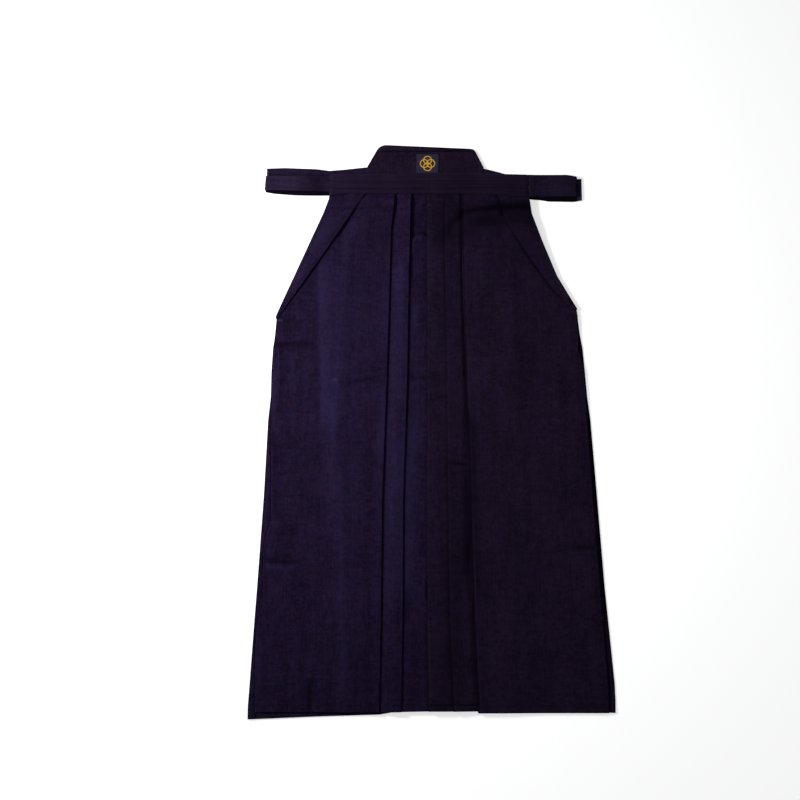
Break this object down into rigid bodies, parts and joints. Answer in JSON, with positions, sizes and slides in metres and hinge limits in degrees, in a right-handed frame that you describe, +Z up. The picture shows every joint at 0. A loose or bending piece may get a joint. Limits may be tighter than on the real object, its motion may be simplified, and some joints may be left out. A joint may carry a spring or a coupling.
{
  "type": "hakama trousers",
  "caption": "Pleated hakama trousers in dark indigo cloth, laid flat with the front up, with a stiff back board, a front band and folded waist ties",
  "frame": {"origin": "middle of the bounding box in X and Y, on the surface that the garment lies on", "axes": "+X the viewer's right looking down on the front, +Y from the hem towards the waist, +Z up out of the surface"},
  "size_m": [0.678, 1.0561, 0.0133],
  "materials": {
    "front_left": "matt plain weave",
    "front_right": "matt plain weave",
    "back_left": "matt plain weave",
    "back_right": "matt plain weave",
    "side_fold_left": "matt plain weave",
    "side_fold_right": "matt plain weave",
    "front_band": "matt plain weave, quilted rows of stitching",
    "front_tie_left": "matt plain weave",
    "front_tie_right": "matt plain weave",
    "back_tie_left": "matt plain weave",
    "back_tie_right": "matt plain weave",
    "back_board": "matt cloth over a stiff core",
    "label_patch": "woven satin with metallic thread"
  },
  "bodies": {
    "root": {"front_left": "front_left", "front_right": "front_right", "back_left": "back_left", "back_right": "back_right", "side_fold_left": "side_fold_left", "side_fold_right": "side_fold_right", "front_band": "front_band", "front_tie_left": "front_tie_left", "front_tie_right": "front_tie_right", "back_tie_left": "back_tie_left", "back_tie_right": "back_tie_right", "back_board": "back_board", "label_patch": "label_patch"}
  },
  "joints": []
}
